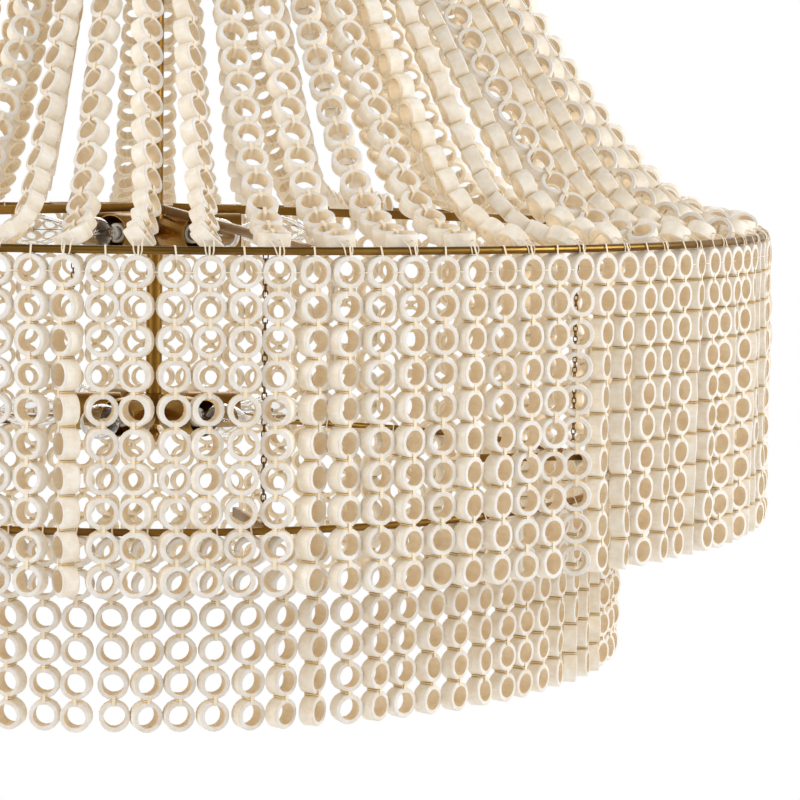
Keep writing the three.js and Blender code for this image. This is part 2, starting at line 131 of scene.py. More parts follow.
def apply_all():
    bpy.ops.object.transform_apply(location=True, rotation=True, scale=True)


@contextmanager
def picked(piece, kind="verts", test=lambda item: True):
    """Open a piece for editing, with the verts, edges or faces selected that pass a test."""
    only(piece)
    bpy.ops.object.mode_set(mode="EDIT")
    bpy.ops.mesh.select_mode(type={"verts": "VERT", "edges": "EDGE", "faces": "FACE"}[kind])
    bpy.ops.mesh.select_all(action="DESELECT")
    mesh = bmesh.from_edit_mesh(piece.data)
    for item in getattr(mesh, kind):
        if test(item):
            item.select_set(True)
    mesh.select_flush_mode()
    bmesh.update_edit_mesh(piece.data)
    yield
    bpy.ops.object.mode_set(mode="OBJECT")


print("selection tools ready")

# %% Finishing a piece


def made_solid(piece):
    """Merge doubles and turn all faces outwards."""
    with picked(piece):
        bpy.ops.mesh.remove_doubles(threshold=0.01 * MM)
        bpy.ops.mesh.normals_make_consistent(inside=False)
    return piece


def handed_over(piece, angle, body, slot, *materials, replaced=()):
    """Smooth a piece below an angle in degrees, give it its finishes and body, and hide the frame nodes it
    replaces.
    """
    only(piece)
    apply_all()
    bpy.ops.object.shade_smooth_by_angle(angle=math.radians(angle))
    if piece.data.materials:
        piece.data.materials.clear()
    for material in materials:
        piece.data.materials.append(material)
    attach(piece, body)
    if replaced:
        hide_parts(*replaced)


def joined(name, parts):
    """Join several objects into the first one."""
    bpy.ops.object.select_all(action="DESELECT")
    for part in parts:
        part.select_set(True)
    bpy.context.view_layer.objects.active = parts[0]
    bpy.ops.object.join()
    return added(name)


def modified(piece, kind, **settings):
    """Put a modifier on a piece and apply it."""
    only(piece)
    modifier = piece.modifiers.new(kind, kind)
    for label, value in settings.items():
        setattr(modifier, label, value)
    bpy.ops.object.modifier_apply(modifier=modifier.name)


def fused(name, parts):
    """Join overlapping solids into one closed skin."""
    whole, *others = parts
    for part in others:
        modified(whole, "BOOLEAN", operation="UNION", object=part)
        bpy.data.objects.remove(part)
    return added(name)


print("finishing tools ready")

# %% Blocks, wire rings and turned pieces


def primitive(name, operator, **settings):
    """Start a piece from one of Blender's primitives."""
    bpy.ops.object.select_all(action="DESELECT")
    operator(**settings)
    piece = added(name)
    apply_all()
    return piece


def block(name, size, place=(0, 0, 0)):
    return primitive(name, bpy.ops.mesh.primitive_cube_add, size=1, location=place, scale=size)


def wire_ring(name, radius, wire, steps, sides, **place):
    """A closed ring of round wire, which lies flat unless a rotation stands it up."""
    return primitive(
        name, bpy.ops.mesh.primitive_torus_add, major_radius=radius, minor_radius=wire,
        major_segments=steps, minor_segments=sides, **place,
    )


def stretched_link(name, bow, wire, length, steps, sides, turn=0.0):
    """An oblong link: an upright wire ring whose halves are moved apart."""
    link = wire_ring(name, bow, wire, steps, sides, rotation=(math.pi / 2, 0, turn))
    waist = bow * 0.06
    for side in (1, -1):
        with picked(link, "verts", lambda vert: vert.co.z * side > waist):
            bpy.ops.transform.translate(value=(0, 0, side * (length / 2 - bow)))
    return link


def turned(name, profile, steps):
    """Spin an outline of radius and height round the Z axis."""
    mesh = bpy.data.meshes.new(name)
    lines = [(place, place + 1) for place in range(len(profile) - 1)]
    mesh.from_pydata([(radius, 0, height) for radius, height in profile], lines, [])
    piece = linked(name, mesh)
    with picked(piece):
        bpy.ops.mesh.spin(steps=steps, angle=math.tau, center=(0, 0, 0), axis=(0, 0, 1))
    return made_solid(piece)


def edged(radius, low, high, edge):
    """Outer wall of a turned piece, with a small flat on each edge."""
    return [(radius - edge, low), (radius, low + edge), (radius, high - edge), (radius - edge, high)]


def sleeve(bore, radius, low, high, edge):
    return [(bore, low), *edged(radius, low, high, edge), (bore, high), (bore, low)]


def around(turn, radius, level):
    """A place on a circle, counted from the front towards the right."""
    return Vector((radius * math.sin(turn), -radius * math.cos(turn), level))


def strand_axes(turn, lean=0.0):
    """Sideways, inward and up for a strand; lean tips the top of it towards the stem."""
    sideways = Vector((math.cos(turn), math.sin(turn), 0))
    outward = Vector((math.sin(turn), -math.cos(turn), 0))
    up = Vector((0, 0, math.cos(lean))) - outward * math.sin(lean)
    inward = up.cross(sideways)
    return Matrix((sideways, inward, up)).transposed()


print("shapes ready")

# %% [markdown]
# ## The camera
# The photograph is taken with a long lens from a little above the upper ring, and it is turned to
# the right of the stem. A camera that only turns keeps the true perspective of the rings.

# %% Camera
focal_pixels = 2788.5
image_pixels = 800
camera_distance = 2.6236
camera_rise = 0.0916
camera_pan = math.radians(5.07)
camera_tilt = math.radians(5.56)
camera_roll = 0.0147

camera_data = bpy.data.cameras.new("camera")
camera_data.sensor_width = 36
camera_data.lens = focal_pixels / image_pixels * camera_data.sensor_width
camera_data.clip_end = 50
camera = linked("camera", camera_data)
camera.matrix_world = (
    Matrix.Translation((0, -camera_distance, tier_level + camera_rise))
    @ Matrix.Rotation(-camera_pan, 4, "Z")
    @ Matrix.Rotation(math.pi / 2 - camera_tilt, 4, "X")
    @ Matrix.Rotation(camera_roll, 4, "Z")
)
bpy.context.scene.camera = camera
print("lens", round(camera_data.lens, 1), "mm")

# %% [markdown]
# ## Nodes
# The world and all the finishes are chains of nodes. The first helper adds a node and feeds its
# inputs. The others add the kinds that come up most and return their result.

# %% Node helpers


def new_node(tree, kind, inputs=None, **settings):
    """Add a node; each input takes a plain value or the socket that feeds it."""
    node = tree.nodes.new("ShaderNode" + kind)
    for label, value in settings.items():
        setattr(node, label, value)
    for label, value in (inputs or {}).items():
        if isinstance(value, bpy.types.NodeSocket):
            tree.links.new(value, node.inputs[label])
        else:
            node.inputs[label].default_value = value
    return node


def maths(tree, operation, first, second=0.0):
    return new_node(tree, "Math", {0: first, 1: second}, operation=operation).outputs[0]


def ranged(tree, value, low, high, start=0.0, end=1.0):
    """Take the range from start to end over to the one from low to high."""
    values = {"Value": value, "From Min": start, "From Max": end, "To Min": low, "To Max": high}
    return new_node(tree, "MapRange", values).outputs[0]


def mixed(tree, factor, first, second, mode="MIX"):
    values = {"Factor": factor, "A": first, "B": second}
    return new_node(tree, "Mix", values, data_type="RGBA", blend_type=mode).outputs["Result"]


def noised(tree, place, scale, detail, rough):
    values = {"Vector": place, "Scale": scale, "Detail": detail, "Roughness": rough}
    return new_node(tree, "TexNoise", values).outputs["Fac"]


print("node helpers ready")

# %% [markdown]
# ## Light
# A product shot on white: an even dome that is a little weaker from above, a soft lamp on each
# side and one behind. The white that the camera, the brass and the glass see is a colour of the
# world alone, so it adds no light to the wood.

# %% World
world = bpy.data.worlds.new("studio")
bpy.context.scene.world = world
world.use_nodes = True
sky = world.node_tree
sky.nodes.clear()
rays = new_node(sky, "LightPath").outputs
looking = new_node(sky, "TexCoord").outputs["Generated"]
direction = new_node(sky, "SeparateXYZ", {0: looking}).outputs

# The brass sees the same white behind it. Towards the camera the studio is dark, with a bright
# band around that, which gives a rod its dark and light lines. Above and below it is darker
# still, so a level rod is darker than the upright stem.
studio = new_node(sky, "ValToRGB", {"Fac": ranged(sky, direction["Y"], 0, 1, -1)})
studio_tones = [(0.0, 0.22), (0.04, 0.3), (0.1, 1.0), (0.3, 1.0), (0.45, 0.25), (0.62, 0.3), (0.8, 1.0)]
while len(studio.color_ramp.elements) < len(studio_tones):
    studio.color_ramp.elements.new(0.5)
for stop, (place, tone) in zip(studio.color_ramp.elements, studio_tones):
    stop.position = place
    stop.color = (tone, tone, tone, 1)
dimming = ranged(sky, maths(sky, "ABSOLUTE", direction["Z"]), 1.0, 0.3)
dimmed = new_node(sky, "VectorMath", {"Vector": studio.outputs["Color"], "Scale": dimming}, operation="SCALE")
tint = mixed(sky, rays["Is Glossy Ray"], (1, 1, 1, 1), dimmed.outputs["Vector"])

strength = ranged(sky, direction["Z"], 0.98, 0.66, -1)
dome = new_node(sky, "Background", {"Color": (1.0, 0.985, 0.965, 1), "Strength": strength})
white = new_node(sky, "Background", {"Color": tint})
sees_white = maths(sky, "MAXIMUM", rays["Is Camera Ray"], rays["Is Glossy Ray"])
sees_white = maths(sky, "MAXIMUM", sees_white, rays["Is Transmission Ray"])
choice = new_node(sky, "MixShader", {0: sees_white, 1: dome.outputs[0], 2: white.outputs[0]})
new_node(sky, "OutputWorld", {0: choice.outputs[0]})
bpy.context.scene.view_settings.view_transform = "Standard"
print("world nodes:", len(sky.nodes))

# %% Lamps


def soft_lamp(name, place, power, width):
    """A square lamp that faces the middle of the upper ring."""
    data = bpy.data.lights.new(name, "AREA")
    data.energy = power
    data.size = width
    lamp = linked(name, data)
    lamp.location = place
    aim = Vector((0, 0, tier_level)) - Vector(place)
    lamp.rotation_euler = aim.to_track_quat("-Z", "Y").to_euler()


soft_lamp("left", (-3.0, -1.8, 0.2), 45, 1.6)
soft_lamp("right", (3.1, -0.9, 0.1), 50, 1.6)
soft_lamp("back", (0.3, 2.9, 0.6), 28, 1.8)
print("lamps:", [item.name for item in bpy.data.lights])

# %% [markdown]
# ## Finishes
# Two effects are used by several finishes, so each is one node group: a fine grain that is drawn
# out along one axis, and soft clouds between two colours. The finishes give them their own scales.
# The rings carry their own coordinates as an attribute, so the grain turns with each ring.

# %% Node groups


def new_group(name, inputs, outputs):
    """A group whose inputs have a label, a kind and a default, and its two ends."""
    group = bpy.data.node_groups.new(name, "ShaderNodeTree")
    for label, kind, value in inputs:
        socket = group.interface.new_socket(label, in_out="INPUT", socket_type="NodeSocket" + kind)
        socket.default_value = value
    for label, kind in outputs:
        group.interface.new_socket(label, in_out="OUTPUT", socket_type="NodeSocket" + kind)
    return group, group.nodes.new("NodeGroupInput").outputs, group.nodes.new("NodeGroupOutput").inputs


def grain_group():
    group, source, result = new_group(
        "drawn_grain",
        [("Vector", "Vector", (0, 0, 0)), ("Stretch", "Vector", (1, 1, 1)), ("Scale", "Float", 1.0)],
        [("Mask", "Float"), ("Height", "Float")],
    )
    drawn = new_node(group, "VectorMath", {0: source["Vector"], 1: source["Stretch"]}, operation="MULTIPLY")
    fine = noised(group, drawn.outputs[0], source["Scale"], 4, 0.62)
    group.links.new(ranged(group, fine, 0, 1, 0.32, 0.68), result["Mask"])
    group.links.new(fine, result["Height"])
    return group


def tarnish_group():
    group, source, result = new_group(
        "cloudy_tarnish",
        [("Vector", "Vector", (0, 0, 0)), ("Scale", "Float", 12.0),
         ("Bright", "Color", (1, 1, 1, 1)), ("Dull", "Color", (0, 0, 0, 1))],
        [("Color", "Color"), ("Mask", "Float")],
    )
    spread = ranged(group, noised(group, source["Vector"], source["Scale"], 6, 0.6), 0, 1, 0.35, 0.65)
    group.links.new(mixed(group, spread, source["Bright"], source["Dull"]), result["Color"])
    group.links.new(spread, result["Mask"])
    return group


drawn_grain = grain_group()
cloudy_tarnish = tarnish_group()
print("groups:", drawn_grain.name, cloudy_tarnish.name)

# %% Building blocks of a finish


def new_finish(name, **plain):
    """A material whose constant values are set on the shader's own sockets."""
    material = bpy.data.materials.new(name)
    material.use_nodes = True
    tree = material.node_tree
    shader = tree.nodes["Principled BSDF"].inputs
    for label, value in plain.items():
        shader[label.replace("_", " ")].default_value = value
    return material, tree, shader


def grain(tree, place, stretch, scale=1.0):
    values = {"Vector": place, "Stretch": stretch, "Scale": scale}
    return new_node(tree, "Group", values, node_tree=drawn_grain).outputs


def tarnish(tree, place, scale, bright, dull):
    values = {"Vector": place, "Scale": scale, "Bright": bright, "Dull": dull}
    return new_node(tree, "Group", values, node_tree=cloudy_tarnish).outputs


def object_place(tree):
    return new_node(tree, "TexCoord").outputs["Object"]


def ring_place(tree):
    return new_node(tree, "Attribute", attribute_name="ring_place").outputs["Vector"]


def bumped(tree, shader, height, strength, distance):
    bump = new_node(tree, "Bump", {"Strength": strength, "Distance": distance, "Height": height})
    tree.links.new(bump.outputs["Normal"], shader["Normal"])


def shade(*seen):
    """A colour as it is seen, no value below 11, turned to the linear values that nodes take."""
    return (*[((value / 255 + 0.055) / 1.055) ** 2.4 for value in seen], 1)


print("finish tools ready")

# %% [markdown]
# ### Wood
# The rings are whitewashed and sanded. The cut face that looks outwards is the whitest and the outer
# wall is a shade warmer. The bore and the inward face are painted tan, which stands for the warm
# shade inside the rings and the drum. Each ring has a tone of its own, stored when it is strung.

# %% Ring finishes


def wood_finish(name, light, dark, stretch, rough):
    material, tree, shader = new_finish(name, IOR=1.45)
    place = ring_place(tree)
    tone = new_node(tree, "Attribute", attribute_name="ring_tone").outputs["Fac"]
    fibres = grain(tree, place, stretch)
    cloud = tarnish(tree, place, 0.11, (1, 1, 1, 1), shade(243, 236, 226))
    base = mixed(tree, ranged(tree, fibres["Mask"], 0.0, 0.5), light, dark)
    toned = mixed(tree, tone, base, mixed(tree, 0.35, base, dark))
    tree.links.new(mixed(tree, 1.0, toned, cloud["Color"], "MULTIPLY"), shader["Base Color"])
    tree.links.new(ranged(tree, fibres["Mask"], rough - 0.06, rough + 0.08), shader["Roughness"])
    bumped(tree, shader, fibres["Height"], 0.25, 0.12 * MM)
    return material


face_grain = (1.6, 0.2, 0.35)
wall_grain = (0.5, 0.08, 0.5)
ring_finishes = [
    wood_finish("ring_face_out", shade(240, 238, 235), shade(228, 223, 215), face_grain, 0.62),
    wood_finish("ring_wall", shade(252, 248, 239), shade(244, 234, 216), wall_grain, 0.55),
    # The tan of the bore and the inward face is painted shade: the warm shade inside the rings and the drum.
    wood_finish("ring_bore_painted_shade", shade(246, 233, 209), shade(237, 218, 185), wall_grain, 0.6),
    wood_finish("ring_face_in_painted_shade", shade(250, 239, 216), shade(241, 224, 194), face_grain, 0.62),
]
print("wood:", [finish.name for finish in ring_finishes])

# %% [markdown]
# ### Thread
# Waxed cotton, twisted: a slanted wave gives the twist, and the colour turns golden where the
# wave dips, which paints shade into the grooves of the twist. Knots and seams are a deeper gold,
# painted shade of thread that lies deep between the rings.

# %% Thread finishes


def thread_finish():
    material, tree, shader = new_finish("thread", Roughness=0.8, Sheen_Weight=0.25)
    twist = new_node(
        tree, "TexWave", {"Vector": ring_place(tree), "Scale": 0.55, "Distortion": 1.2}, bands_direction="DIAGONAL",
    ).outputs["Fac"]
    # Golden where the twist dips: painted shade in the grooves of the twist.
    tree.links.new(mixed(tree, twist, shade(234, 213, 176), shade(251, 243, 228)), shader["Base Color"])
    bumped(tree, shader, twist, 0.5, 0.15 * MM)
    return material


def knot_finish():
    material, tree, shader = new_finish("painted_shade_knot_thread", Roughness=0.75)
    fuzz = grain(tree, ring_place(tree), (1, 1, 1), 2.0)
    # The deep gold is painted shade: the cream thread as it looks deep between the rings.
    tree.links.new(mixed(tree, fuzz["Mask"], shade(246, 206, 132), shade(252, 232, 184)), shader["Base Color"])
    bumped(tree, shader, fuzz["Height"], 0.5, 0.2 * MM)
    return material


thread = thread_finish()
painted_shade_knot_thread = knot_finish()
print("thread finishes ready")

# %% [markdown]
# ### Metal and glass
# The brass is antiqued: a deep golden brown with duller clouds and fine brushing. The chains are
# darker. The bulbs are thin clear glass on nickel caps.

# %% Metal and glass finishes
brushing = (40, 40, 900)


def metal_finish(name, bright, dull, rough, cloud_scale):
    material, tree, shader = new_finish(name, Metallic=1.0)
    place = object_place(tree)
    cloud = tarnish(tree, place, cloud_scale, bright, dull)
    lines = grain(tree, place, brushing)
    uneven = mixed(tree, 0.35, cloud["Mask"], lines["Mask"])
    tree.links.new(cloud["Color"], shader["Base Color"])
    tree.links.new(ranged(tree, uneven, rough - 0.06, rough + 0.12), shader["Roughness"])
    bumped(tree, shader, lines["Height"], 0.12, 0.05 * MM)
    return material


def glass_finish():
    material, tree, shader = new_finish(
        "clear_glass", Transmission_Weight=1.0, IOR=1.45, Base_Color=(0.98, 0.985, 0.985, 1),
    )
    haze = grain(tree, object_place(tree), (60, 60, 60))
    tree.links.new(ranged(tree, haze["Mask"], 0.0, 0.03), shader["Roughness"])
    return material


def clouded_finish(name, scale, bright, dull, **plain):
    """A plain finish that drifts softly between two colours."""
    material, tree, shader = new_finish(name, **plain)
    tree.links.new(tarnish(tree, object_place(tree), scale, bright, dull)["Color"], shader["Base Color"])
    return material


brass = metal_finish("antique_brass", shade(170, 131, 64), shade(132, 97, 42), 0.3, 14)
dark_brass = metal_finish("darkened_brass", shade(140, 104, 54), shade(94, 67, 34), 0.38, 40)
steel = metal_finish("zinc_steel", shade(196, 197, 196), shade(168, 170, 170), 0.36, 30)
nickel = metal_finish("nickel_cap", shade(205, 203, 198), shade(176, 172, 165), 0.25, 60)
clear_glass = glass_finish()
holder_ceramic = clouded_finish(
    "holder_ceramic", 90, shade(238, 234, 226), shade(224, 218, 206), Roughness=0.35, Coat_Weight=0.2,
)
filament_metal = clouded_finish(
    "filament", 300, shade(150, 148, 144), shade(96, 94, 92), Metallic=1.0, Roughness=0.4,
)
print("finishes:", len(bpy.data.materials))

# %% [markdown]
# The frame's own solids take a finish too, because the strap is shown as it is.

# %% Dress the frame, and a short way to hand over brass
for node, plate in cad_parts.items():
    plate.data.materials.clear()
    plate.data.materials.append(brass if node != "mounting_strap" else steel)


def brass_part(piece, angle, node, body="chandelier_frame"):
    """Hand over a brass piece that stands for one node of the frame."""
    handed_over(piece, angle, body, "brass", brass, replaced=[node])


print("solids dressed:", len(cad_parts))

# %% [markdown]
# ## The models that repeat
# A ring, a tie, a rod loop and a knot are each modelled once, round the origin, and strung later.
# They repeat thousands of times, so each has only a few dozen faces. The ring lies with its hole
# along Y, so that its cut face looks at the viewer, and a strand hangs along Z.

# %% One wooden ring
ring_sides = 18
ring_edge = 0.8 * MM


def wooden_ring():
    ring = primitive(
        "ring_model", bpy.ops.mesh.primitive_cylinder_add, vertices=ring_sides, radius=bead_outer,
        depth=bead_length, rotation=(math.pi / 2, 0, 0),
    )
    with picked(ring, "faces", lambda face: abs(face.normal.y) > 0.9):
        bpy.ops.mesh.inset(thickness=wall)
        bpy.ops.mesh.bridge_edge_loops()
    with picked(ring, "edges", lambda edge: all(
        math.hypot(vert.co.x, vert.co.z) > bead_outer * 0.99 for vert in edge.verts
    ) and abs(edge.verts[0].co.y - edge.verts[1].co.y) < MM):
        bpy.ops.mesh.bevel(offset=ring_edge, segments=1)
    return made_solid(ring)


ring_model = wooden_ring()
print("ring:", len(ring_model.data.polygons), "faces")

# %% Bands of thread
thread_thickness = 0.45 * MM
band_corner = 1.1 * MM
band_depth = bead_length + 1.6 * thread_thickness
tie_width = 2.6 * MM
tie_height = 2 * wall + (bead_pitch - 2 * bead_outer) + 2 * thread_thickness
side_tie_width = 0.8 * MM
side_tie_slack = 0.6 * MM
rod_loop_width = 1.4 * MM
rod_loop_play = 0.15 * MM
rod_loop_waist = 1 * MM            # the loop is narrower from here up, where it passes the rod
rod_loop_narrowing = 0.55


def band(name, width, depth, height):
    """A flat loop of thread: a block with blunted corners whose middle is taken out."""
    loop = block(name, (width, depth, height))
    with picked(loop, "edges", lambda edge: abs(edge.verts[0].co.x - edge.verts[1].co.x) > width / 2):
        bpy.ops.mesh.bevel(offset=band_corner, segments=1)
    with picked(loop, "faces", lambda face: abs(face.normal.x) > 0.9):
        bpy.ops.mesh.inset(thickness=thread_thickness)
        bpy.ops.mesh.bridge_edge_loops()
    return made_solid(loop)


def rod_loop():
    top = rod_radius + thread_thickness + rod_loop_play
    bottom = -(rod_radius + seat + wall + thread_thickness)
    loop = band("rod_loop_model", rod_loop_width, band_depth, top - bottom)
    loop.data.transform(Matrix.Translation((0, 0, (top + bottom) / 2)))
    for vert in loop.data.vertices:
        if vert.co.z > -rod_loop_waist:
            vert.co.y *= rod_loop_narrowing
    return loop


tie_model = band("tie_model", tie_width, band_depth, tie_height)
side_tie_model = band(
    "side_tie_model", side_tie_width, bead_length + 1.2 * thread_thickness, tie_height + side_tie_slack,
)
rod_loop_model = rod_loop()
print("tie:", len(tie_model.data.polygons), "faces")

# %% Knot and seam
knot_radius = 1.25 * MM
seam_size = (6 * MM, bead_length - 0.8 * MM, 1.0 * MM)
seam_edge = 0.2 * MM


def small_knot():
    knot = primitive("knot_model", bpy.ops.mesh.primitive_ico_sphere_add, subdivisions=1, radius=knot_radius)
    with picked(knot):
        bpy.ops.transform.resize(value=(1.3, 0.9, 0.8))
        bpy.ops.transform.vertex_random(offset=knot_radius / 5, seed=3)
    return knot


def bind_wrap():
    """The turns of thread that fill the seam between two rings of a strand; their gold is painted shade."""
    bind = block("bind_model", seam_size)
    with picked(bind, "edges", lambda edge: abs(edge.verts[0].co.y - edge.verts[1].co.y) > bead_length / 2):
        bpy.ops.mesh.bevel(offset=seam_edge, segments=1)
    return bind


knot_model = small_knot()
bind_model = bind_wrap()
print("knot:", len(knot_model.data.polygons), "faces")

# %% [markdown]
# ## Stringing
# A strand is a list of places, each a frame of sideways, inward and up. Stringing copies the model
# to every place inside one mesh, and stores two attributes: the ring's own coordinates in
# millimetres, shifted by a random step so no two rings share grain, and a tone.

# %% Copy a model to many places
grain_shift = 400
tone_bias = 1.6                    # above 1, most rings take the lighter tone


def strung(name, model, places, rng, finishes=None):
    """One mesh with a copy of the model at each place; finishes tells which one each face takes."""
    corners = np.array([tuple(vert.co) for vert in model.data.vertices])
    faces = [list(face.vertices) for face in model.data.polygons]
    turns = np.array([[list(row) for row in place] for place in places])
    count = len(places)
    spread = np.einsum("nij,vj->nvi", turns[:, :3, :3], corners) + turns[:, None, :3, 3]
    every_face = [[corner + len(corners) * copy for corner in face] for copy in range(count) for face in faces]
    mesh = bpy.data.meshes.new(name)
    mesh.from_pydata(spread.reshape(-1, 3).tolist(), [], every_face)
    shifts = rng.uniform(-grain_shift, grain_shift, (count, 1, 3))
    local = np.broadcast_to(corners[None] / MM, spread.shape) + shifts
    mesh.attributes.new("ring_place", "FLOAT_VECTOR", "POINT").data.foreach_set("vector", local.ravel())
    tones = np.repeat(rng.uniform(0, 1, count) ** tone_bias, len(corners))
    mesh.attributes.new("ring_tone", "FLOAT", "POINT").data.foreach_set("value", tones)
    if finishes is not None:
        mesh.polygons.foreach_set("material_index", np.tile(finishes, count).astype(np.int32))
    return linked(name, mesh)


def ring_part(face):
    """Which finish a face of the ring takes: outward face, outer wall, bore or inward face."""
    if abs(face.normal.y) > 0.5:
        return 0 if face.normal.y < 0 else 3
    outwards = face.normal.x * face.center.x + face.normal.z * face.center.z > 0
    return 1 if outwards else 2


ring_parts = np.array([ring_part(face) for face in ring_model.data.polygons], int)


def strung_panel(name, number, body, rng, places, end_model):
    """String the models of one panel and hand them over as rings, threads and knots.

    The places are lists by label: rings, ties with their seams, knots, loops, and the ends, which
    are the side ties of a curtain or the tails of a drape.
    """
    def string(label, model, finishes=None):
        return strung(f"{name}_{label}_{number}", model, places[label], rng, finishes)

    rings = string("rings", ring_model, ring_parts)
    handed_over(rings, 40, body, "beads", *ring_finishes, replaced=[f"{name}_{number}"])
    threads = [string("ties", tie_model), string("loops", rod_loop_model), string("ends", end_model)]
    handed_over(joined(f"{name}_threads_{number}", threads), 50, body, "beads", thread)
    # Knots and seams take the thread's gold of painted shade.
    knots = [string("knots", knot_model), string("ties", bind_model)]
    handed_over(joined(f"{name}_knots_{number}", knots), 50, body, "beads", painted_shade_knot_thread)


print("stringing ready")

# %% Places along a strand
tie_slant = 0.05
knot_beside = 1.6 * MM
knot_turn = 6                      # a little less than a whole turn, in radians
loose_rings = 3                    # so many rings away from the rod a strand hangs freely


def placed(point, axes, yaw=0.0, tilt=0.0, slant=0.0):
    """A place: axes of the strand, then a turn about it, a tilt and a slant."""
    turn = axes @ Matrix.Rotation(yaw, 3, "Z") @ Matrix.Rotation(tilt, 3, "X") @ Matrix.Rotation(slant, 3, "Y")
    return Matrix.Translation(point) @ turn.to_4x4()


def smooth_noise(rng, count, step):
    """A slow random walk: a few random values, joined by a straight line between them."""
    knots = rng.normal(0, 1, count // step + 2)
    return np.interp(np.arange(count) / step, np.arange(len(knots)), knots)


def lay_strand(places, rng, middles, frames, yaws, ring_tilt, knot_along=0.0, knot_rise=0.0):
    """Place the rings, and tie each one to the next, with a knot on one side of the tie."""
    for middle, axes, yaw in zip(middles, frames, yaws):
        places["rings"].append(placed(middle, axes, yaw, rng.normal(0, ring_tilt)))
    for ring in range(len(middles) - 1):
        middle = (middles[ring] + middles[ring + 1]) / 2
        yaw = (yaws[ring] + yaws[ring + 1]) / 2
        places["ties"].append(placed(middle, frames[ring], yaw, 0, rng.normal(0, tie_slant)))
        beside = rng.choice([-1, 1]) * knot_beside
        along = rng.choice([-1, 1]) * knot_along if knot_along else 0
        spot = placed(middle, frames[ring], yaw) @ Vector((beside, along, wall + knot_rise))
        places["knots"].append(placed(spot, frames[ring], rng.uniform(0, knot_turn)))


print("places ready")

# %% Panels, a quarter turn each
panel_count = 4


def hang_panels(name, body, strands, share, rng, lay, end_model):
    """Let lay add the places of each strand, and string a panel when its strands are done."""
    pitch = math.tau / strands
    in_panel = strands // panel_count
    for panel in range(panel_count):
        places = defaultdict(list)
        for number in range(panel * in_panel, (panel + 1) * in_panel):
            lay(places, number, spoke_turn + (number + share) * pitch)
        strung_panel(name, panel + 1, body, rng, places, end_model)
    print(name, "has", strands, "strands and", len(places["rings"]) // in_panel, "rings on each")


print("panels ready")

# %% [markdown]
# ## The two straight curtains
# Each strand hangs from a loop of thread over the brass rod. Every ring is tied to the next by a
# flat band of thread round both walls, a golden seam fills the gap between them, and the first
# rings are tied to their neighbours too. Real strands twist, so each gets a turn of its own that
# drifts on its way down. Where the photograph shows a strand's turn clearly, that turn is given.

# %% Turns that the photograph shows, in degrees by strand
seen_upper_twists = {
    127: -15, 128: -60, 129: 22, 130: -14, 131: 12, 132: 8, 133: 0, 134: -28, 135: 38, 0: 30, 1: 10, 2: 18,
    3: 2, 4: 10, 5: 10, 6: 4, 7: -6, 8: -40, 9: 24, 10: 22, 11: 0, 12: 8, 13: 0, 14: 22, 15: 8, 16: -22,
}
seen_lower_twists = {
    92: -12, 93: 3, 94: -4, 95: 5, 96: 10, 97: 2, 98: 9, 99: 18, 0: 22, 1: 36, 2: -3, 3: 18, 4: 8, 5: 14,
    6: 15, 7: 10, 8: 8, 9: 0, 10: 10,
}
seen_drape_twists = {
    63: -35, 64: -25, 65: 45, 66: 52, 67: 8, 0: 6, 1: -8, 2: -14, 3: 55, 4: 52, 5: 38, 6: -28, 7: 36, 8: 24,
}
print("turns given:", len(seen_upper_twists) + len(seen_lower_twists) + len(seen_drape_twists))

# %% Hang the outer and the lower curtain
# Spreads of the random draws; the slants, the tilt and the drift are in radians.
twist_rings = 4                    # so many rings down a strand has its full turn
twist_start = 0.4
loop_follows = 0.5                 # share of the first ring's turn that its loop takes
twist_spread = math.radians(16)
twist_drift = 0.11
sideways_wander = 1.1 * MM
inward_wander = 1.2 * MM
curtain_tilt = 0.035
knot_along = 4.5 * MM
knot_rise = 0.6 * MM
loop_wander = 0.8 * MM
loop_slant = 0.07
side_tie_slant = 0.04


def hang_curtain(name, body, radius, level, strands, rings, share, tied_pitch, seen_twists, seed):
    rng = np.random.default_rng(seed)
    top = level - rod_radius - seat - bead_outer
    twists = rng.normal(0, twist_spread, strands)
    for number, degrees in seen_twists.items():
        twists[number] = math.radians(degrees)
    steps = np.arange(rings)
    growth = np.clip((steps + twist_start) / twist_rings, 0, 1)
    freedom = np.clip(steps / loose_rings, 0, 1)

    def lay(places, number, turn):
        axes = strand_axes(turn)
        lean = smooth_noise(rng, rings, step=5) * freedom * sideways_wander
        depth = smooth_noise(rng, rings, step=4) * freedom * inward_wander
        yaws = twists[number] * growth + smooth_noise(rng, rings, step=3) * twist_drift
        middles = [
            around(turn, radius, top - ring * tied_pitch)
            + axes.col[0] * float(lean[ring]) + axes.col[1] * float(depth[ring])
            for ring in steps
        ]
        lay_strand(places, rng, middles, [axes] * rings, yaws, curtain_tilt, knot_along, knot_rise)
        hook = around(turn, radius, level) + axes.col[0] * float(rng.normal(0, loop_wander))
        places["loops"].append(placed(hook, axes, yaws[0] * loop_follows, 0, rng.normal(0, loop_slant)))
        if (number + 1) % (strands // panel_count):
            beside = turn + math.pi / strands
            slant = math.pi / 2 + rng.normal(0, side_tie_slant)
            places["ends"].append(placed(around(beside, radius, top), strand_axes(beside), 0, 0, slant))

    hang_panels(name, body, strands, share, rng, lay, side_tie_model)


hang_curtain(
    "upper_curtain", "chandelier_frame", tier_radius, tier_level, strands=136, rings=10, share=1.0,
    tied_pitch=25.6 * MM, seen_twists=seen_upper_twists, seed=21,
)
hang_curtain(
    "lower_curtain", "lower_tier", lower_radius, lower_level, strands=100, rings=6, share=0.5,
    tied_pitch=26.3 * MM, seen_twists=seen_lower_twists, seed=22,
)

